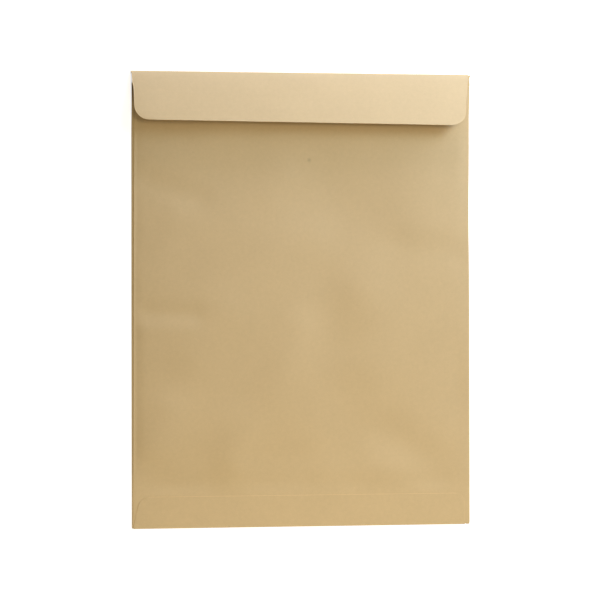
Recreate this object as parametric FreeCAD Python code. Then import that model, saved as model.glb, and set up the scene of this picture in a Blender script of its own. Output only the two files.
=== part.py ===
import FreeCAD, Part

import math
import os

# Open-end paper envelope, folded from one kraft sheet and glued, lying with its plain front face down.
# X runs across the envelope, +Y towards the flap fold, +Z up. Millimetres.
# The origin is on the front face, at the middle of the outline.

# Whole envelope
WIDTH = 229.0  # left side fold to right side fold
HEIGHT = 305.0  # bottom fold to flap fold
PAPER = 0.15  # thickness of the sheet
POCKET_GAP = 0.5  # clear height between the two panels along the side folds

# Closing flap, folded over the back and left unsealed, so it stands up a little
FLAP_DEPTH = 35.0  # flap fold to free edge at mid-width, measured along the paper
FLAP_SKEW = 1.3  # how much deeper the flap is at its right end than at its left
FLAP_TAPER_LEFT = 4.0  # degrees
FLAP_TAPER_RIGHT = 6.3  # degrees
FLAP_CORNER = 9.5  # radius of its two free corners
FLAP_FOLD = 0.6  # outer radius of the flap fold
FLAP_RISE_LEFT = 13.5  # degrees above the back panel, at the left end
FLAP_RISE_RIGHT = 11.5  # degrees above the back panel, at the right end
FLAP_INSET = 0.8  # flap's right end at the fold, in from the right side fold

# Mouth of the pocket
THROAT = 8.0  # flap fold to the back panel's top edge
EAR_LEFT = 0.3  # shoulders at the flap fold, out past the side folds
EAR_RIGHT = 0.2
NOTCH = 0.5  # left shoulder at the mouth, in from the side fold

# Glued left side seam
LAP_WIDTH = 18.0  # glue lap turned in from the front panel
LAP_CHAMFER = 6.0  # slanted ends of the glue lap
SEAM_INSET = 1.4  # back panel's cut edge, in from the left side fold

# Bottom flap, turned up from the front panel and glued over the back panel
BOTTOM_DEPTH = 21.2  # bottom fold to the flap's top edge
BOTTOM_CORNER = 6.0  # radius of its two corners
BOTTOM_BASE_LEFT = 1.0  # ends of the flap at the fold, in from the side folds
BOTTOM_BASE_RIGHT = 3.5
BOTTOM_TIP_LEFT = 5.6  # ends of the flap at its top edge, in from the side folds
BOTTOM_TIP_RIGHT = 3.8
BOTTOM_RELIEF = 0.3  # bottom fold line to the ends of the side folds and the back panel

# Pillow of the back panel, which bows away from the front panel
CROWN = 2.2  # highest rise of the back panel over its flat rim
MOUTH_CROWN = 0.9  # rise at the middle of the mouth
CROWN_RIM = 5.0  # flat rim beside the right side fold

# Levels of the layers, from the face that the envelope lies on
front_top = PAPER
back_low = front_top + POCKET_GAP
back_top = back_low + PAPER
lap_low = back_low - PAPER
bottom_flap_top = back_top + PAPER

# Outer radii of the folds, and the lines where each roll leaves the flat front panel
left_radius = back_low / 2
right_radius = back_top / 2
bottom_radius = bottom_flap_top / 2
half_width = WIDTH / 2
half_height = HEIGHT / 2
left_line = -half_width + left_radius
right_line = half_width - right_radius
bottom_line = -half_height + bottom_radius
flap_line = half_height - FLAP_FOLD
mouth_line = half_height - THROAT
tube_bottom = bottom_line + BOTTOM_RELIEF


def vector(x, y, z=0.0):
    return FreeCAD.Vector(x, y, z)


def unit(start, end):
    return (end - start).normalize()


def rounded_outline(corners):
    """Closed flat wire through (x, y, radius) corners; a radius of 0 keeps the corner sharp."""
    points = [vector(x, y) for x, y, _ in corners]
    stops = []
    for i, (_, _, radius) in enumerate(corners):
        before, here, after = points[i - 1], points[i], points[(i + 1) % len(points)]
        if radius == 0:
            stops.append((here, None, here))
            continue
        to_before, to_after = unit(here, before), unit(here, after)
        half_angle = to_before.getAngle(to_after) / 2
        reach = radius / math.tan(half_angle)
        bisector = (to_before + to_after).normalize()
        centre = here + bisector * (radius / math.sin(half_angle))
        stops.append((here + to_before * reach, centre - bisector * radius, here + to_after * reach))
    edges = []
    for i, (start, middle, end) in enumerate(stops):
        if middle is not None:
            edges.append(Part.Arc(start, middle, end).toShape())
        edges.append(Part.LineSegment(end, stops[(i + 1) % len(stops)][0]).toShape())
    return Part.Wire(edges)


def plate(corners, low, high):
    """Flat sheet with the given plan outline between two levels."""
    face = Part.Face(rounded_outline(corners))
    face.translate(vector(0, 0, low))
    return face.extrude(vector(0, 0, high - low))


def half_roll(radius):
    """Half ring of paper in the XZ plane, bulging towards -X, with its outside from level 0 to 2 * radius."""
    inner = radius - PAPER
    outer_arc = Part.Arc(vector(0, 0, 0), vector(-radius, 0, radius), vector(0, 0, 2 * radius))
    inner_arc = Part.Arc(
        vector(0, 0, radius + inner), vector(-inner, 0, radius), vector(0, 0, radius - inner)
    )
    upper = Part.LineSegment(vector(0, 0, 2 * radius), vector(0, 0, radius + inner))
    lower = Part.LineSegment(vector(0, 0, radius - inner), vector(0, 0, 0))
    return Part.Face(Part.Wire([edge.toShape() for edge in (outer_arc, upper, inner_arc, lower)]))


def front_panel():
    """Front of the envelope, with a slanted shoulder beside the mouth at each side."""
    return plate(
        [
            (left_line, bottom_line, 0),
            (right_line, bottom_line, 0),
            (right_line, mouth_line, 0),
            (half_width, mouth_line, 0),
            (half_width + EAR_RIGHT, flap_line, 0),
            (-half_width - EAR_LEFT, flap_line, 0),
            (-half_width + NOTCH, mouth_line, 0),
            (left_line, mouth_line, 0),
        ],
        0.0,
        front_top,
    )


def left_fold():
    """Roll that carries the glue lap round from the front panel."""
    roll = half_roll(left_radius)
    roll.translate(vector(left_line, tube_bottom))
    return roll.extrude(vector(0, mouth_line - tube_bottom))


def glue_lap():
    """Lap inside the pocket, under the back panel's left edge, with slanted ends."""
    tip = left_line + LAP_WIDTH
    return plate(
        [
            (left_line, tube_bottom, 0),
            (tip, tube_bottom + LAP_CHAMFER, 0),
            (tip, mouth_line - LAP_CHAMFER, 0),
            (left_line, mouth_line, 0),
        ],
        lap_low,
        back_low,
    )


def right_fold():
    """Roll that joins the front panel to the back panel."""
    roll = half_roll(right_radius)
    roll.rotate(vector(0, 0), vector(0, 0, 1), 180)
    roll.translate(vector(right_line, tube_bottom))
    return roll.extrude(vector(0, mouth_line - tube_bottom))


def bump_poles(peak, end):
    """Heights of six Bezier poles: flat at 0, over a middle height of peak, and flat at end."""
    middle = (32 * peak - 6 * end) / 20
    return [0.0, 0.0, middle, middle, end, end]


def crowned_field(west, east, south, north):
    """Bowed middle of the back panel: level on three sides, and open to a low arch at the mouth."""
    across = bump_poles(1.0, 0.0)
    along = bump_poles(CROWN, MOUTH_CROWN)
    surface = Part.BezierSurface()
    surface.increase(len(across) - 1, len(along) - 1)
    for i, share in enumerate(across):
        x = west + (east - west) * i / (len(across) - 1)
        for j, rise in enumerate(along):
            y = south + (north - south) * j / (len(along) - 1)
            surface.setPole(i + 1, j + 1, vector(x, y, back_low + share * rise))
    return surface.toShape().extrude(vector(0, 0, PAPER))


def back_panel():
    """Back of the envelope: a flat rim where it is glued or folded, round the crowned field."""
    west = left_line + LAP_WIDTH
    east = right_line - CROWN_RIM
    south = -half_height + BOTTOM_DEPTH
    rim = plate(
        [
            (-half_width + SEAM_INSET, tube_bottom, 0),
            (right_line, tube_bottom, 0),
            (right_line, mouth_line, 0),
            (east, mouth_line, 0),
            (east, south, 0),
            (west, south, 0),
            (west, mouth_line, 0),
            (-half_width + SEAM_INSET, mouth_line, 0),
        ],
        back_low,
        back_top,
    )
    return rim.fuse(crowned_field(west, east, south, mouth_line))


def bottom_fold():
    """Roll that carries the bottom flap up from the front panel."""
    west = -half_width + BOTTOM_BASE_LEFT
    east = half_width - BOTTOM_BASE_RIGHT
    roll = half_roll(bottom_radius)
    roll.rotate(vector(0, 0), vector(0, 0, 1), 90)
    roll.translate(vector(west, bottom_line))
    return roll.extrude(vector(east - west, 0))


def bottom_flap():
    """Flap glued flat over the back panel, with rounded corners and leaning ends."""
    tip_line = -half_height + BOTTOM_DEPTH
    return plate(
        [
            (-half_width + BOTTOM_BASE_LEFT, bottom_line, 0),
            (half_width - BOTTOM_BASE_RIGHT, bottom_line, 0),
            (half_width - BOTTOM_TIP_RIGHT, tip_line, BOTTOM_CORNER),
            (-half_width + BOTTOM_TIP_LEFT, tip_line, BOTTOM_CORNER),
        ],
        back_top,
        bottom_flap_top,
    )


def flap_section(x, rise):
    """Closed section of the flap and its fold at one station across, standing up by rise degrees."""
    angle = math.radians(rise)
    centre = vector(x, flap_line, FLAP_FOLD)
    inner = FLAP_FOLD - PAPER

    def on_roll(radius, turn):
        return centre + vector(0, math.cos(turn), math.sin(turn)) * radius

    start, end = -math.pi / 2, math.pi / 2 - angle
    middle = (start + end) / 2
    out = vector(0, -math.cos(angle), math.sin(angle)) * (FLAP_DEPTH + FLAP_SKEW)
    outer = [on_roll(FLAP_FOLD, turn) for turn in (start, middle, end)]
    inside = [on_roll(inner, turn) for turn in (end, middle, start)]
    edges = [
        Part.Arc(*outer),
        Part.LineSegment(outer[-1], outer[-1] + out),
        Part.LineSegment(outer[-1] + out, inside[0] + out),
        Part.LineSegment(inside[0] + out, inside[0]),
        Part.Arc(*inside),
        Part.LineSegment(inside[-1], outer[0]),
    ]
    return Part.Wire([edge.toShape() for edge in edges])


def closing_flap():
    """Flap on its fold, twisted between its two rises and trimmed to a tapered, round-cornered outline."""
    left = -half_width - EAR_LEFT
    right = half_width - FLAP_INSET
    sheet = Part.makeLoft(
        [flap_section(left, FLAP_RISE_LEFT), flap_section(right, FLAP_RISE_RIGHT)], True, True
    )
    corners = []
    for end, side, rise, taper in (
        (left, -1, FLAP_RISE_LEFT, FLAP_TAPER_LEFT),
        (right, 1, FLAP_RISE_RIGHT, FLAP_TAPER_RIGHT),
    ):
        straight = FLAP_DEPTH + side * FLAP_SKEW / 2 - FLAP_FOLD
        reach = FLAP_FOLD + straight * math.cos(math.radians(rise))
        lean = reach * math.tan(math.radians(taper))
        corners.append((end - side * lean, half_height - reach, FLAP_CORNER))
    beyond = half_height + FLAP_FOLD
    ends = [(right, flap_line, 0), (right, beyond, 0), (left, beyond, 0), (left, flap_line, 0)]
    return sheet.common(plate(corners + ends, 0.0, FLAP_DEPTH))


def envelope():
    pieces = [
        left_fold(),
        glue_lap(),
        right_fold(),
        back_panel(),
        bottom_fold(),
        bottom_flap(),
        closing_flap(),
    ]
    sheet = front_panel().multiFuse(pieces).removeSplitter()
    if len(sheet.Solids) != 1 or not sheet.isValid():
        raise RuntimeError("the folded sheet is not one valid solid")
    return sheet.Solids[0]


os.makedirs("parts", exist_ok=True)
envelope().exportStep("parts/envelope.step")
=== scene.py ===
import math

import bmesh
import bpy
import numpy as np
from mathutils import Matrix, Vector


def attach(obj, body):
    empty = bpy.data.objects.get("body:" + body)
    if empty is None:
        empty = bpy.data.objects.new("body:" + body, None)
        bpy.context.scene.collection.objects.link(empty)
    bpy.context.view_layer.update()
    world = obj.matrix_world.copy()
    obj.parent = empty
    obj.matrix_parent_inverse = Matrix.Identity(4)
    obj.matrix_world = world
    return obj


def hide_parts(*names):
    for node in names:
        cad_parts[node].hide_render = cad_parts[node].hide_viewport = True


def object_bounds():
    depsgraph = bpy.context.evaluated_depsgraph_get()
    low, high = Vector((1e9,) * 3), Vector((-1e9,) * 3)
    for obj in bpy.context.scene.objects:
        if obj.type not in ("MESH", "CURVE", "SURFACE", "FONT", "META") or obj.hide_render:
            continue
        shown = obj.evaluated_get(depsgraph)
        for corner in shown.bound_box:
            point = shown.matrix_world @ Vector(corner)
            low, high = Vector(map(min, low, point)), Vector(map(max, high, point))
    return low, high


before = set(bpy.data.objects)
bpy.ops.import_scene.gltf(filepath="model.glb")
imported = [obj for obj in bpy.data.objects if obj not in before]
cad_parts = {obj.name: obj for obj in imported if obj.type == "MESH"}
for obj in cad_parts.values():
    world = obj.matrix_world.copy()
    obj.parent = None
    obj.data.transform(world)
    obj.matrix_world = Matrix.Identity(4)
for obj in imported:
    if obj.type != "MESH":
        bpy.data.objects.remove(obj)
cad_low, cad_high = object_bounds()

# Lengths below are in millimetres and angles in degrees, and the finished mesh is in metres.
MM = 0.001

# The sheet and its layers
PAPER = 0.15
POCKET_GAP = 0.5
GLUE = 0.015  # clear space between glued layers
EAR_LEFT = 0.3  # how far the solid's shoulders stand out past the side folds
EAR_RIGHT = 0.2
left_side = cad_low.x / MM + EAR_LEFT
right_side = cad_high.x / MM - EAR_RIGHT
bottom_side = cad_low.y / MM
top_side = cad_high.y / MM

front_z = PAPER / 2
back_z = PAPER + POCKET_GAP + PAPER / 2
lap_z = back_z - PAPER - GLUE
bottom_flap_z = back_z + PAPER + GLUE

# Middle radii of the folds, and the lines where each roll leaves the flat front panel
FLAP_FOLD = 0.525
left_roll = (lap_z - front_z) / 2
right_roll = (back_z - front_z) / 2
bottom_roll = (bottom_flap_z - front_z) / 2
left_line = left_side + left_roll + PAPER / 2
right_line = right_side - right_roll - PAPER / 2
bottom_line = bottom_side + bottom_roll + PAPER / 2
flap_line = top_side - FLAP_FOLD - PAPER / 2

# Mouth of the pocket, the shoulders beside it and the sharp ears where they meet the flap fold
THROAT = 8.0
SHOULDER_LEFT = 0.4  # left shoulder, in from the side fold
SHOULDER_RIGHT = 0.15  # right shoulder, out from the side fold
SHOULDER_STEPS = (0.5, 2.0, 3.6, 4.6, 6.0, 6.9)  # rows of the shoulders, up from the mouth
EAR_TIP_LEFT = 0.8
EAR_TIP_RIGHT = 1.3
EAR_LENGTH_LEFT = 1.0
EAR_LENGTH_RIGHT = 1.8
mouth_line = top_side - THROAT

# Bottom end of the tube and the bare corners of the front panel
TUBE_START = 0.3  # lower end of the side folds and the back panel, up from the bottom fold's line
FOOT_TIP = 0.3  # lower right corner, out from the side fold
BARE_EDGE = 0.1  # bare corners beside the flaps, in from the outline
tube_bottom = bottom_line + TUBE_START

# Glued left seam
LAP_WIDTH = 18.0
LAP_CHAMFER = 6.0
LAP_END = 0.6
SEAM_INSET_TOP = 1.9  # back panel's cut edge, in from the left side fold
SEAM_INSET_BOTTOM = 0.9
SEAM_LIFT = 0.24  # how far the loose cut edge stands up
SEAM_LIFT_REACH = 2.6
SEAM_LIFT_RUN_BOTTOM = 25.0  # lengths over which the lift comes in from the ends of the edge
SEAM_LIFT_RUN_TOP = 6.0

# Bottom flap
BOTTOM_DEPTH = 21.2
BOTTOM_BASE_LEFT = 1.0
BOTTOM_BASE_RIGHT = 3.5
BOTTOM_TIP_LEFT = 5.6
BOTTOM_TIP_RIGHT = 3.8
BOTTOM_CORNER = 6.0
BOTTOM_CURL = 0.12  # how far its left end stands up
BOTTOM_CURL_REACH = 1.4
BOTTOM_GLINT = 1.4  # how much more its long cut edge is painted lighter than other edges, a painted glint where it catches the light
BOTTOM_SIDE_GLINT = 0.5  # the same at its short ends
bottom_flap_top = bottom_side + BOTTOM_DEPTH

# Closing flap
FLAP_INSET = 0.8
FLAP_DEPTH = 34.6  # end of the fold to the free edge, at mid-width
FLAP_SKEW = 0.0068  # growth of that depth per millimetre to the right
FLAP_NIP = 0.75  # step in its left edge
FLAP_NIP_START = 7.2
FLAP_NIP_END = 13.0
FLAP_TAPER_LEFT = 1.6
FLAP_TAPER_RIGHT = 6.2
FLAP_CORNER_LEFT = (9.6, 10.2)
FLAP_CORNER_RIGHT = (9.4, 7.8)
FLAP_RISE_LEFT = 12.2  # slope of its flat part
FLAP_RISE_RIGHT = 12.0
FLAP_SPRING_LEFT = 7.0  # extra slope at the fold, which dies away along the flap
FLAP_SPRING_RIGHT = 2.5
FLAP_SPRING_REACH = 8.0
FLAP_DROOP = 0.3  # how far its left edge sags
FLAP_DROOP_REACH = 7.0
FLAP_DROOP_RUN = 10.0  # length from the fold over which the sag comes in

# Sideways bend of the side folds, to the right: its amount, where it starts and its length
BOW_LEFT = 0.10
BOW_LEFT_UPPER = (0.08, 0, 80)
BOW_LEFT_TOP = (0.15, 110, 20)
BOW_RIGHT_TOP = (0.45, 122, 18)
BOW_RIGHT_DIP = (0.42, 57, 32)  # its amount, middle and half-length
BOW_END_START = 1.0  # above the mouth the bend fades out
BOW_END_LENGTH = 5.0

# Pillow of the back panel
CROWN = 1.7
MOUTH_CROWN = 0.8
SIDE_RISE = 0.78  # quick rise beside both side folds
SIDE_REACH_LEFT = 5.6
SIDE_REACH_RIGHT = 12.8
SIDE_RUN = 20.0  # length over which that rise comes in above the bottom flap
DENT_MARGIN = 8.0  # width beside the folds and the bottom flap over which the dents fade out

# Soft dents of the back panel: the ends of each line, its half-width and its height, below 0 for a hollow
DENTS = {
    "hollow under the mouth": ((-48, 84), (41, 56), 28, -0.93),
    "middle hollow": ((8, -16), (17, 82), 26, -0.88),
    "lower middle hollow": ((24, 13), (30, -106), 20, -0.81),
    "right corner hollow": ((71, -80), (102, -56), 33, -0.51),
    "right corner crease": ((57, -92), (89, -113), 15, -0.87),
    "upper right swell": ((83, 108), (79, 54), 27, 1.00),
    "left swell": ((-78, -84), (-103, 6), 34, 0.46),
    "lower left swell": ((-99, -97), (-91, -75), 13, 0.66),
    "middle left swell": ((-75, -31), (-55, -9), 20, 0.77),
    "lower middle swell": ((-46, -107), (-2, -21), 13, 0.72),
    "mouth swell": ((-50, 117), (-42, 150), 20, 0.80),
    "left crease": ((-104, -9), (-73, -10), 7, -0.47),
    "middle ridge": ((46, -1), (5, 40), 17, 0.44),
    "left edge hollow": ((-104, -9), (-105, 29), 10, -0.23),
    "bottom hollow": ((-92, -118), (-4, -111), 18, -0.70),
    "right crease": ((63, 38), (107, 31), 12, -0.37),
    "upper left crease": ((-69, 67), (-101, 78), 9, -0.48),
    "middle ridge, lower end": ((6, 1), (-18, -64), 11, 0.11),
    "upper left spot": ((-86, 58), (-88, 54), 8, 0.22),
    "swell under the mouth": ((-13, 82), (-22, 69), 10, 0.37),
    "middle spot": ((11, 65), (9, 44), 8, 0.17),
    "lower left swell, inner": ((-49, -82), (-49, -127), 13, 0.35),
    "upper left swell": ((-96, 95), (-71, 103), 17, 0.50),
    "ridge under the left crease": ((-112, -17), (-76, -19), 6, 0.17),
    "middle swell, right": ((32, 5), (33, -39), 23, 0.69),
    "crease beside the flap": ((-108, 107), (-80, 109), 9, -0.21),
    "swell along the mouth": ((-20, 111), (60, 110), 10, 0.41),
}

# Kraft paper
KRAFT = (0.61, 0.45, 0.23)
KRAFT_FLAP_PAINTED_LIGHT = (0.60, 0.45, 0.235)  # painted light: the flap is the same paper, painted a touch cooler to stand in for the light it catches
KRAFT_ROUGHNESS = 0.78
KRAFT_GLOSS = 0.35
CLOUDS = ((26.0, 3.0), (2.6, 2.0))  # size and detail of the coarse and the fine clouds
FIBRE_SIZE = 0.22
FIBRE_DETAIL = 1.0
FIBRE_STRETCH = 11.0
FIBRE_TURNS = (4.0, 58.0, 117.0, 163.0)
FIBRE_SHARPNESS = 3.0
BASE_SHADE = 0.885  # shade of the paper before clouds and fibres add to it
CLOUD_SHADE = 0.08
FIBRE_SHADE = 0.07
WEAR_SHADE = 0.10  # how much lighter a rubbed fold is
CUT_SHADE_AND_GLINT = 0.20  # how much lighter a cut edge is painted: partly the paler fibres of the cut, partly a painted glint where it catches the light
WEAR_SIZE = 1.4
WEAR_DETAIL = 2.0
WEAR_STRETCH = 3.0
WEAR_TURN = 90.0
FIBRE_RELIEF = 0.25
FIBRE_HEIGHT = 0.02

# Dark specks on the paper: place, radius and strength
SPECKS = {
    "below the mouth": ((4.7, 93.7), 2.1, 0.20),
    "left of it": ((-73.4, 98.5), 0.8, 0.08),
    "right of it": ((20.9, 77.0), 0.8, 0.08),
    "on the bottom fold": ((-49.6, -152.2), 0.9, 0.35),
}

# Pale floor, which shows plain white and keeps a soft shadow close to the sheet, in metres
FLOOR_SIDE = 12.0
FLOOR_LEVEL = -0.0001  # just clear of the sheet's lower face
FLOOR_COLOUR = 0.78
FLOOR_GLOW = 0.68
FLOOR_FADE = (0.35, 0.75)  # distances over which the glow rises to plain white

# Lamps: colour, strength in watts, size in metres, and where each stands: azimuth, elevation, metres away
LAMPS = {
    "key": ((0.73, 1.0, 1.68), 2.8, 0.35, (45, 12, 0.8)),
    "edge": ((1.02, 1.0, 1.25), 4.7, 0.2, (80, 6, 0.8)),
    "lift": ((0.85, 1.0, 1.18), 4.5, 0.4, (40, 23, 0.9)),
    "back": ((1.14, 1.0, 0.76), 2.45, 0.4, (55, 68, 1.0)),
    "foot": ((1.11, 1.0, 0.80), 2.45, 0.3, (-84, 41, 0.7)),
}

# Camera: how it is turned, where it stands, how far it sees in metres, and its lens
CAMERA_YAW = 7.3154
CAMERA_PITCH = -0.0947
CAMERA_ROLL = 0.0963
CAMERA_OFFSET = (1.3651, 0.3484)
CAMERA_DISTANCE = 1400.0
CAMERA_REACH = 50.0
SENSOR = 36.0
PHOTO_SIDE = 600.0
FOCAL_PIXELS = 2082.286

# Fineness of the mesh
STEP = 2.4
EDGE = 0.35
RIM = 1.2
ROLL_PARTS = 6
CORNER_PARTS = 8
SEAM_STEPS = (0, 0.25, 0.5, RIM, 1.8, SEAM_LIFT_REACH, 5.0)  # columns of the back panel, from its cut edge
FOLD_STEPS = (3.0, RIM, EDGE, 0)  # its columns at the other side, up to the right side fold
TINY = 0.01
WELD = 0.001
SHARP_ANGLE = 40.0

# The sheet under construction: its points, its faces and what each point lies on
points = []
quads = []
marks = {"cut_edge_and_glint": [], "fold_wear": [], "flap_part": []}


def stations(stops, step=STEP):
    """Positions through all the stops, evenly spread between them and no further apart than step."""
    out = [stops[0]]
    for low, high in zip(stops, stops[1:]):
        count = max(1, math.ceil((high - low) / step))
        out.extend(low + (high - low) * (i + 1) / count for i in range(count))
    return np.array(out)


def smooth(value):
    """Soft step from 0 to 1 while the value goes from 0 to 1."""
    value = np.clip(value, 0.0, 1.0)
    return value * value * (3 - 2 * value)


def near(distance):
    """1 on a line, falling to 0 at RIM from it."""
    return np.clip(1 - np.abs(distance) / RIM, 0.0, 1.0) ** 2


def on_edge(distance):
    """1 on a cut edge, falling to 0 at EDGE from it."""
    return np.clip(1 - np.abs(distance) / EDGE, 0.0, 1.0)


def bend(y, amount, start, length):
    """Sideways amount that comes in over a length from its start."""
    return amount * smooth((y - start) / length)


def bow(x, y):
    """Sideways bend of the tube: its side folds are not quite straight."""
    left = BOW_LEFT + bend(y, *BOW_LEFT_UPPER) + bend(y, *BOW_LEFT_TOP)
    dip, middle, half = BOW_RIGHT_DIP
    right = bend(y, *BOW_RIGHT_TOP) - dip * np.exp(-(((y - middle) / half) ** 2))
    share = smooth((x - left_line) / (right_line - left_line))
    fade = 1 - smooth((y - mouth_line - BOW_END_START) / BOW_END_LENGTH)
    return fade * (left * (1 - share) + right * share)


def add_grid(x, y, z, cut=0.0, fold=0.0, flap=0.0, bowed=True):
    """Adds a grid of points and its faces to the sheet, with its marks for cut edges, folds and flap."""
    x, y, z = np.broadcast_arrays(x, y, z)
    if bowed:
        x = x + bow(x, y)
    rows, cols = x.shape
    start = len(points)
    points.extend(np.stack([x, y, z], axis=-1).reshape(-1, 3).tolist())
    for values, strength in zip(marks.values(), (cut, fold, flap)):
        values.extend((np.zeros((rows, cols)) + strength).reshape(-1).tolist())
    for row in range(rows - 1):
        for col in range(cols - 1):
            corner = start + row * cols + col
            quads.append((corner, corner + 1, corner + cols + 1, corner + cols))


def dent(x, y, start, end, width, height):
    """One soft crease along a line, fading out at its ends."""
    (x0, y0), (x1, y1) = start, end
    length = math.hypot(x1 - x0, y1 - y0)
    along = ((x - x0) * (x1 - x0) + (y - y0) * (y1 - y0)) / length
    across = ((x - x0) * (y1 - y0) - (y - y0) * (x1 - x0)) / length
    outside = np.maximum(np.maximum(-along, along - length), 0)
    return height * np.exp(-(across / width) ** 2 - (outside / width) ** 2)


def crown(x, y):
    """Even swell of the back panel: CROWN high at its middle, and MOUTH_CROWN at the middle of the mouth."""
    u = np.clip((x - left_line) / (right_line - left_line), 0, 1)
    v = np.clip((y - bottom_flap_top) / (mouth_line - bottom_flap_top), 0, 1)
    across = 16 * u**2 * (1 - u) ** 2
    middle = (32 * CROWN - 6 * MOUTH_CROWN) / 2
    return across * (middle * v**2 * (1 - v) ** 2 + MOUTH_CROWN * (5 * v**4 - 4 * v**5))


def side_rise(x, y):
    """Quick rise of the back panel beside its side folds, which stays nearly level between them."""
    from_left = 1 - np.exp(-np.clip(x - left_line, 0, None) / SIDE_REACH_LEFT)
    from_right = 1 - np.exp(-np.clip(right_line - x, 0, None) / SIDE_REACH_RIGHT)
    return SIDE_RISE * from_left * from_right * smooth((y - bottom_flap_top) / SIDE_RUN)


def pillow(x, y):
    """Rise of the back panel over the level at which it is glued and folded."""
    dents = sum(dent(x, y, *row) for row in DENTS.values())
    beside = smooth((x - left_line) / DENT_MARGIN) * smooth((right_line - x) / DENT_MARGIN)
    hold = beside * smooth((y - bottom_flap_top) / DENT_MARGIN)
    return crown(x, y) + side_rise(x, y) + dents * hold


def roll(radius):
    """Half turn of a fold up from the front panel: how far out it stands, and its height."""
    turns = np.linspace(0, math.pi, ROLL_PARTS + 1)
    return radius * np.sin(turns), front_z + radius - radius * np.cos(turns)


def corner_inset(distance, across, along):
    """How far a rounded corner takes the edge in, at a distance from the end of the flap."""
    share = np.clip(1 - distance / along, 0, 1)
    return across * (1 - np.sqrt(1 - share**2))


def corner_rows(depth, radius):
    """Stations from the fold to the free edge, closer at the fold and round the corners."""
    turns = np.radians(np.linspace(0, 90, CORNER_PARTS + 1))
    arc = depth - radius * (1 - np.sin(turns))
    rows = stations([0, EDGE, RIM, depth - radius])
    out = np.concatenate([rows, arc[1:], [depth - EDGE, depth - RIM]])
    return np.unique(np.round(out, 4))


def left_shoulder(y):
    """Left end of the front panel: side fold, shoulder, and the sharp ear at the flap fold."""
    ear = np.clip((y - (flap_line - EAR_LENGTH_LEFT)) / EAR_LENGTH_LEFT, 0, 1)
    return np.where(y > mouth_line, left_side + SHOULDER_LEFT, left_line) - ear * EAR_TIP_LEFT


def right_shoulder(y):
    """Right end of the front panel: side fold, shoulder, and the sharp ear at the flap fold."""
    ear = np.clip((y - (flap_line - EAR_LENGTH_RIGHT)) / EAR_LENGTH_RIGHT, 0, 1)
    return np.where(y > mouth_line, right_side + SHOULDER_RIGHT, right_line) + ear * EAR_TIP_RIGHT


# Columns and rows that the panels and flaps share
bottom_west = left_side + BOTTOM_BASE_LEFT
bottom_east = right_side - BOTTOM_BASE_RIGHT
flap_east = right_side - FLAP_INSET
columns = stations(
    [
        left_line,
        left_line + EDGE,
        bottom_west,
        bottom_west + EDGE,
        bottom_west + RIM,
        bottom_east - RIM,
        bottom_east - EDGE,
        bottom_east,
        flap_east - RIM,
        flap_east - EDGE,
        flap_east,
        right_line,
    ]
)
tube_rows = stations(
    [tube_bottom, tube_bottom + RIM, mouth_line - RIM, mouth_line - EDGE, mouth_line]
)
shoulder_rows = np.array([*SHOULDER_STEPS, THROAT - (top_side - flap_line)]) + mouth_line
front_rows = np.concatenate([[bottom_line], tube_rows, shoulder_rows])


def front_panel():
    """Front panel, with the shoulders beside the mouth; returns its places across at the flap fold."""
    x = np.repeat(columns[None, :], len(front_rows), axis=0)
    x[:, 0] = left_shoulder(front_rows)
    x[:, -1] = right_shoulder(front_rows)
    x[0, -1] += FOOT_TIP
    y = front_rows[:, None]
    loose = (y > mouth_line) | (y < tube_bottom)
    cut = np.where(loose, on_edge(x - x[:, :1]) + on_edge(x - x[:, -1:]), 0)
    fold = np.maximum(near(y - flap_line), near(y - bottom_line))
    beside = np.maximum(near(x - left_line), near(x - right_line))
    fold = np.maximum(fold, np.where(loose, 0, beside))
    y = np.repeat(y, len(columns), axis=1)
    bare = (columns < bottom_west - TINY) | (columns > bottom_east + TINY)
    y[0, bare] = bottom_side + BARE_EDGE
    y[-1, columns > flap_east + TINY] = top_side - BARE_EDGE
    add_grid(x, y, front_z, cut, fold)
    return x[-1]


def left_seam():
    """Left side fold and the glue lap inside."""
    y = tube_rows[:, None]
    out, level = roll(left_roll)
    add_grid(left_line - out, y, level, fold=1.0)
    slant = np.minimum(y - tube_bottom, mouth_line - y) / LAP_CHAMFER
    width = np.maximum(LAP_WIDTH * np.clip(slant, 0, 1), LAP_END)
    share = stations([0, EDGE, RIM, LAP_WIDTH - EDGE, LAP_WIDTH]) / LAP_WIDTH
    x = left_line + width * share
    add_grid(x, y, lap_z + pillow(x, y), on_edge(width * (1 - share)), near(x - left_line))


def back_panel():
    """Right side fold and the back panel, whose cut edge stands up a little along the left side fold."""
    y = tube_rows[:, None]
    out, level = roll(right_roll)
    add_grid(right_line + out, y, level, fold=1.0)
    height = (y - tube_bottom) / (mouth_line - tube_bottom)
    seam = left_side + SEAM_INSET_BOTTOM + (SEAM_INSET_TOP - SEAM_INSET_BOTTOM) * height
    reach = right_line - left_side
    share = stations([*SEAM_STEPS, *(reach - step for step in FOLD_STEPS)]) / reach
    x = seam + (right_line - seam) * share
    from_seam = x - seam
    run = smooth((y - bottom_flap_top) / SEAM_LIFT_RUN_BOTTOM)
    run = run * smooth((mouth_line - y) / SEAM_LIFT_RUN_TOP)
    lift = SEAM_LIFT * run * np.clip(1 - from_seam / SEAM_LIFT_REACH, 0, 1) ** 2
    cut = np.maximum(on_edge(from_seam), on_edge(y - mouth_line))
    add_grid(x, y, back_z + pillow(x, y) + lift, cut, near(x - right_line))


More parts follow.
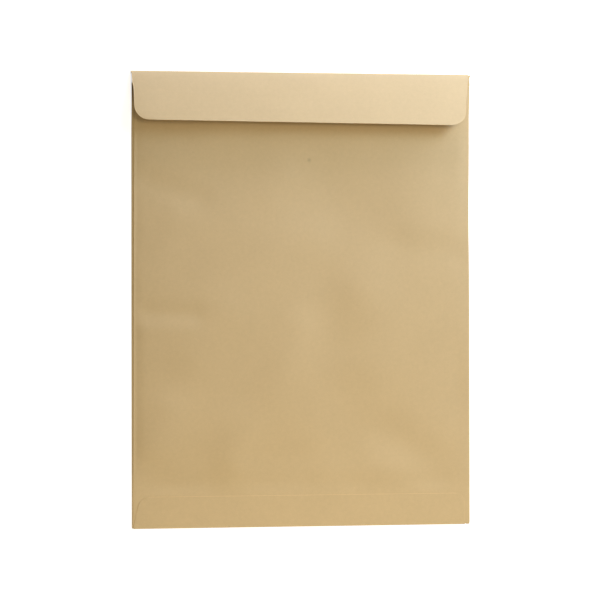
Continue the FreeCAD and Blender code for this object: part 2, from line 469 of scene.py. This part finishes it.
def bottom_flap():
    """Bottom fold and the bottom flap."""
    west, east = (int(np.argmin(abs(columns - edge))) for edge in (bottom_west, bottom_east))
    base = columns[west : east + 1]
    out, level = roll(bottom_roll)
    add_grid(base, bottom_line - out[:, None], level[:, None], fold=1.0)
    depth = BOTTOM_DEPTH - (bottom_line - bottom_side)
    rows = corner_rows(depth, BOTTOM_CORNER)[:, None]
    inset = corner_inset(depth - rows, BOTTOM_CORNER, BOTTOM_CORNER)
    lean = rows / depth
    left_end = bottom_west + (BOTTOM_TIP_LEFT - BOTTOM_BASE_LEFT) * lean + inset
    right_end = bottom_east - (BOTTOM_TIP_RIGHT - BOTTOM_BASE_RIGHT) * lean - inset
    share = (base - bottom_west) / (bottom_east - bottom_west)
    x = left_end + (right_end - left_end) * share
    y = bottom_line + rows
    curl = BOTTOM_CURL * lean * np.clip(1 - (x - left_end) / BOTTOM_CURL_REACH, 0, 1) ** 2
    # painted glint: the bottom flap's cut edges are painted lighter where they catch the light, its long
    # edge most
    cut = np.maximum(on_edge(x - left_end), on_edge(right_end - x)) * BOTTOM_SIDE_GLINT
    cut = np.maximum(cut, on_edge(depth - rows) * BOTTOM_GLINT)
    level = bottom_flap_z + pillow(x, y) + curl
    add_grid(x, y, level, np.where(rows > 0, cut, 0), near(rows))


def flap_ends(rows, start):
    """Left and right edges of the closing flap, at distances from its fold."""
    ear = EAR_TIP_LEFT * np.clip(rows / EAR_LENGTH_LEFT, 0, 1)
    nip = FLAP_NIP * smooth((rows - FLAP_NIP_START) / (FLAP_NIP_END - FLAP_NIP_START))
    left_end = start + ear + nip + rows * math.tan(math.radians(FLAP_TAPER_LEFT))
    left_end = left_end + corner_inset(FLAP_DEPTH - rows, *FLAP_CORNER_LEFT)
    right_end = flap_east - rows * math.tan(math.radians(FLAP_TAPER_RIGHT))
    right_end = right_end - corner_inset(FLAP_DEPTH - rows, *FLAP_CORNER_RIGHT)
    return left_end, right_end


def closing_flap(fold_line):
    """Closing flap: its fold, then the slope that it follows away from the fold."""
    east = int(np.argmin(abs(columns - flap_east)))
    base = fold_line[: east + 1]
    share = (base - base[0]) / (base[-1] - base[0])
    rise = FLAP_RISE_LEFT + (FLAP_RISE_RIGHT - FLAP_RISE_LEFT) * share
    spring = FLAP_SPRING_LEFT + (FLAP_SPRING_RIGHT - FLAP_SPRING_LEFT) * share
    part = np.linspace(0, 1, ROLL_PARTS + 1)[:, None]
    turns = part * (math.pi - np.radians(rise + spring))
    roll_y = flap_line + FLAP_FOLD * np.sin(turns)
    roll_z = front_z + FLAP_FOLD * (1 - np.cos(turns))
    add_grid(base, roll_y, roll_z, fold=1.0, flap=part, bowed=False)

    rows = corner_rows(FLAP_DEPTH, FLAP_CORNER_LEFT[1])[:, None]
    left_end, right_end = flap_ends(rows, base[0])
    x = left_end + (right_end - left_end) * share
    along = rows * (1 + FLAP_SKEW * base / FLAP_DEPTH)
    angle = np.radians(rise + spring * np.exp(-along / FLAP_SPRING_REACH))
    middle = (angle[1:] + angle[:-1]) / 2
    stride = along[1:] - along[:-1]
    y = np.vstack([roll_y[-1:], roll_y[-1:] - np.cumsum(np.cos(middle) * stride, axis=0)])
    z = np.vstack([roll_z[-1:], roll_z[-1:] + np.cumsum(np.sin(middle) * stride, axis=0)])
    droop = FLAP_DROOP * np.exp(-np.clip(x - left_end, 0, None) / FLAP_DROOP_REACH)
    z = z - droop * smooth(rows / FLAP_DROOP_RUN)
    cut = np.maximum(on_edge(x - left_end), on_edge(right_end - x))
    cut = np.maximum(cut, on_edge(FLAP_DEPTH - rows))
    add_grid(x, y, z, np.where(rows > 0, cut, 0), near(rows), 1.0, bowed=False)


def build_sheet():
    """Middle of the folded sheet as one mesh, with its panels and flaps welded along their folds."""
    fold_line = front_panel()
    left_seam()
    back_panel()
    bottom_flap()
    closing_flap(fold_line)
    mesh = bpy.data.meshes.new("envelope_sheet")
    mesh.from_pydata((np.array(points) * MM).tolist(), [], quads)
    for name, values in marks.items():
        layer = mesh.attributes.new(name, "FLOAT", "POINT")
        layer.data.foreach_set("value", values)
    form = bmesh.new()
    form.from_mesh(mesh)
    bmesh.ops.remove_doubles(form, verts=form.verts, dist=WELD * MM)
    bmesh.ops.recalc_face_normals(form, faces=form.faces)
    form.to_mesh(mesh)
    form.free()
    return mesh


def thicken(mesh):
    """The sheet as an object, with the thickness of the paper to both sides of its middle."""
    sheet = bpy.data.objects.new("envelope_sheet", mesh)
    bpy.context.scene.collection.objects.link(sheet)
    shell = sheet.modifiers.new("paper", "SOLIDIFY")
    shell.thickness = PAPER * MM
    shell.offset = 0.0
    bpy.context.view_layer.update()
    graph = bpy.context.evaluated_depsgraph_get()
    solid = bpy.data.meshes.new_from_object(sheet.evaluated_get(graph))
    sheet.modifiers.clear()
    sheet.data = solid
    solid.shade_smooth()
    solid.set_sharp_from_angle(angle=math.radians(SHARP_ANGLE))
    return sheet


class Graph:
    """Nodes of a material or of the surroundings, with short ways to add and join them."""

    def __init__(self, tree):
        self.nodes = tree.nodes
        self.links = tree.links

    def feed(self, socket, value):
        """Gives a socket a fixed value, or joins it to another node's output."""
        if isinstance(value, bpy.types.NodeSocket):
            self.links.new(value, socket)
        else:
            socket.default_value = value

    def maths(self, operation, first, second):
        """One step of arithmetic."""
        node = self.nodes.new("ShaderNodeMath")
        node.operation = operation
        self.feed(node.inputs[0], first)
        self.feed(node.inputs[1], second)
        return node.outputs[0]

    def distance(self, centre):
        """Distance of the shaded point from a centre in metres."""
        node = self.nodes.new("ShaderNodeVectorMath")
        node.operation = "DISTANCE"
        node.inputs[1].default_value = centre
        self.links.new(self.place(), node.inputs[0])
        return node.outputs["Value"]

    def fade(self, value, span, levels, kind="LINEAR"):
        """Goes from the first level to the second while the value goes along its span."""
        node = self.nodes.new("ShaderNodeMapRange")
        node.interpolation_type = kind
        self.links.new(value, node.inputs[0])
        for socket, number in zip(node.inputs[1:5], (*span, *levels)):
            socket.default_value = number
        return node.outputs[0]

    def mix(self, blend, factor, first, second):
        """Mixes two colours."""
        node = self.nodes.new("ShaderNodeMix")
        node.data_type = "RGBA"
        node.blend_type = blend
        for socket, value in zip((node.inputs[0], *node.inputs[6:8]), (factor, first, second)):
            self.feed(socket, value)
        return node.outputs[2]

    def mark(self, name):
        """How strongly a mark of the sheet applies at the shaded point."""
        node = self.nodes.new("ShaderNodeAttribute")
        node.attribute_name = name
        return node.outputs["Fac"]

    def place(self):
        """Place of the shaded point on the object, in metres."""
        return self.nodes.new("ShaderNodeTexCoord").outputs["Object"]

    def noise(self, size, detail, stretch=1.0, turn=0.0):
        """Noise whose features are about size millimetres, stretched along a direction."""
        mapping = self.nodes.new("ShaderNodeMapping")
        mapping.vector_type = "TEXTURE"
        mapping.inputs["Rotation"].default_value = (0, 0, math.radians(turn))
        mapping.inputs["Scale"].default_value = (size * MM * stretch, size * MM, size * MM)
        self.links.new(self.place(), mapping.inputs["Vector"])
        texture = self.nodes.new("ShaderNodeTexNoise")
        texture.inputs["Scale"].default_value = 1.0
        texture.inputs["Detail"].default_value = detail
        self.links.new(mapping.outputs[0], texture.inputs["Vector"])
        return texture.outputs[0]


def new_material(name):
    """Material with its graph of nodes and its shader."""
    material = bpy.data.materials.new(name)
    material.use_nodes = True
    return material, Graph(material.node_tree), material.node_tree.nodes["Principled BSDF"]


def fibre_pattern(graph):
    """Fine fibres that lie in a few directions."""
    fibres = None
    for turn in FIBRE_TURNS:
        strand = graph.noise(FIBRE_SIZE, FIBRE_DETAIL, FIBRE_STRETCH, turn)
        strand = graph.maths("POWER", strand, FIBRE_SHARPNESS)
        fibres = strand if fibres is None else graph.maths("ADD", fibres, strand)
    return fibres


def paper_shade(graph, fibres):
    """Shade of the paper: faint clouds and fibres, lighter rubbed folds, cut edges painted lighter with
    paler fibres and a painted glint, dark specks.
    """
    coarse, fine = (graph.noise(*cloud) for cloud in CLOUDS)
    clouds = graph.maths("MULTIPLY", graph.maths("ADD", coarse, fine), CLOUD_SHADE)
    shade = graph.maths("ADD", clouds, graph.maths("MULTIPLY", fibres, FIBRE_SHADE))
    shade = graph.maths("ADD", shade, BASE_SHADE)
    wear = graph.maths("MULTIPLY", graph.mark("fold_wear"), WEAR_SHADE)
    rubbed = graph.noise(WEAR_SIZE, WEAR_DETAIL, WEAR_STRETCH, WEAR_TURN)
    wear = graph.maths("MULTIPLY", wear, rubbed)
    # cut edges painted lighter: the paler fibres of the cut together with a painted glint
    cut = graph.maths("MULTIPLY", graph.mark("cut_edge_and_glint"), CUT_SHADE_AND_GLINT)
    shade = graph.maths("ADD", shade, graph.maths("ADD", wear, cut))
    for (x, y), radius, strength in SPECKS.values():
        level = float(back_z + PAPER / 2 + pillow(x, y))
        away = graph.distance((x * MM, y * MM, level * MM))
        speck = graph.fade(away, (0.0, radius * MM), (strength, 0.0), "SMOOTHSTEP")
        shade = graph.maths("SUBTRACT", shade, speck)
    return shade


def kraft_material():
    """Kraft paper, with its fibres standing out a little."""
    material, graph, shader = new_material("kraft_paper")
    fibres = fibre_pattern(graph)
    # painted light: the flap's part of the sheet gets the cooler flap colour, which stands in for the light
    # the flap catches
    paper = graph.mix("MIX", graph.mark("flap_part"), (*KRAFT, 1.0), (*KRAFT_FLAP_PAINTED_LIGHT, 1.0))
    colour = graph.mix("MULTIPLY", 1.0, paper, paper_shade(graph, fibres))
    graph.links.new(colour, shader.inputs["Base Color"])
    shader.inputs["Roughness"].default_value = KRAFT_ROUGHNESS
    shader.inputs["Specular IOR Level"].default_value = KRAFT_GLOSS
    bump = graph.nodes.new("ShaderNodeBump")
    bump.inputs["Strength"].default_value = FIBRE_RELIEF
    bump.inputs["Distance"].default_value = FIBRE_HEIGHT * MM
    graph.links.new(fibres, bump.inputs["Height"])
    graph.links.new(bump.outputs[0], shader.inputs["Normal"])
    return material


def floor_material():
    """Matt white that also glows to the camera, more so further away from the sheet."""
    material, graph, shader = new_material("floor_white")
    shader.inputs["Base Color"].default_value = (FLOOR_COLOUR, FLOOR_COLOUR, FLOOR_COLOUR, 1)
    shader.inputs["Roughness"].default_value = 1.0
    shader.inputs["Specular IOR Level"].default_value = 0.0
    shader.inputs["Emission Color"].default_value = (1, 1, 1, 1)
    glow = graph.fade(graph.distance((0, 0, 0)), FLOOR_FADE, (FLOOR_GLOW, 1.0))
    path = graph.nodes.new("ShaderNodeLightPath")
    glow = graph.maths("MULTIPLY", path.outputs["Is Camera Ray"], glow)
    graph.links.new(glow, shader.inputs["Emission Strength"])
    return material


def floor():
    """Floor just below the sheet."""
    mesh = bpy.data.meshes.new("floor")
    half = FLOOR_SIDE / 2
    corners = [(x * half, y * half, FLOOR_LEVEL) for x, y in ((-1, -1), (1, -1), (1, 1), (-1, 1))]
    mesh.from_pydata(corners, [], [(0, 1, 2, 3)])
    mesh.materials.append(floor_material())
    ground = bpy.data.objects.new("floor", mesh)
    bpy.context.scene.collection.objects.link(ground)


def lamp(name, colour, watts, size, place):
    """Square lamp that faces the middle of the sheet and that the camera doesn't see."""
    light = bpy.data.lights.new(name, "AREA")
    light.energy = watts
    light.color = colour
    light.size = size
    piece = bpy.data.objects.new(name, light)
    bpy.context.scene.collection.objects.link(piece)
    azimuth, elevation = (math.radians(angle) for angle in place[:2])
    level = place[2] * math.cos(elevation)
    stand = (level * math.cos(azimuth), level * math.sin(azimuth), place[2] * math.sin(elevation))
    piece.location = stand
    piece.rotation_euler = (-Vector(stand)).to_track_quat("-Z", "Y").to_euler()
    piece.visible_camera = False


def surroundings():
    """White to the camera and in reflections, and without light for everything else."""
    world = bpy.data.worlds.new("surroundings")
    world.use_nodes = True
    bpy.context.scene.world = world
    graph = Graph(world.node_tree)
    graph.nodes.clear()
    path = graph.nodes.new("ShaderNodeLightPath")
    seen = path.outputs["Is Camera Ray"]
    for name in ("Is Glossy Ray", "Is Transmission Ray"):
        seen = graph.maths("MAXIMUM", seen, path.outputs[name])
    mix = graph.nodes.new("ShaderNodeMixShader")
    graph.links.new(seen, mix.inputs[0])
    for socket, brightness in zip(mix.inputs[1:3], (0, 1)):
        light = graph.nodes.new("ShaderNodeBackground")
        light.inputs["Color"].default_value = (brightness, brightness, brightness, 1)
        graph.links.new(light.outputs[0], socket)
    output = graph.nodes.new("ShaderNodeOutputWorld")
    graph.links.new(mix.outputs[0], output.inputs[0])


def camera():
    """Camera of the photograph: it looks down at the envelope from slightly to its left."""
    data = bpy.data.cameras.new("camera")
    data.sensor_fit = "HORIZONTAL"
    data.sensor_width = SENSOR
    data.lens = SENSOR * FOCAL_PIXELS / PHOTO_SIDE
    data.clip_end = CAMERA_REACH
    piece = bpy.data.objects.new("camera", data)
    bpy.context.scene.collection.objects.link(piece)
    turn = (
        Matrix.Rotation(math.radians(CAMERA_ROLL), 3, "Z")
        @ Matrix.Rotation(math.radians(CAMERA_PITCH), 3, "X")
        @ Matrix.Rotation(math.radians(CAMERA_YAW), 3, "Y")
    ).transposed()
    stand = turn @ (Vector((-CAMERA_OFFSET[0], -CAMERA_OFFSET[1], CAMERA_DISTANCE)) * MM)
    piece.matrix_world = Matrix.Translation(stand) @ turn.to_4x4()
    bpy.context.scene.camera = piece


sheet = thicken(build_sheet())
sheet.data.materials.clear()
sheet.data.materials.append(kraft_material())
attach(sheet, "root")
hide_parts("envelope")

floor()
for name, row in LAMPS.items():
    lamp(name, *row)
surroundings()
camera()
bpy.context.scene.view_settings.view_transform = "Standard"
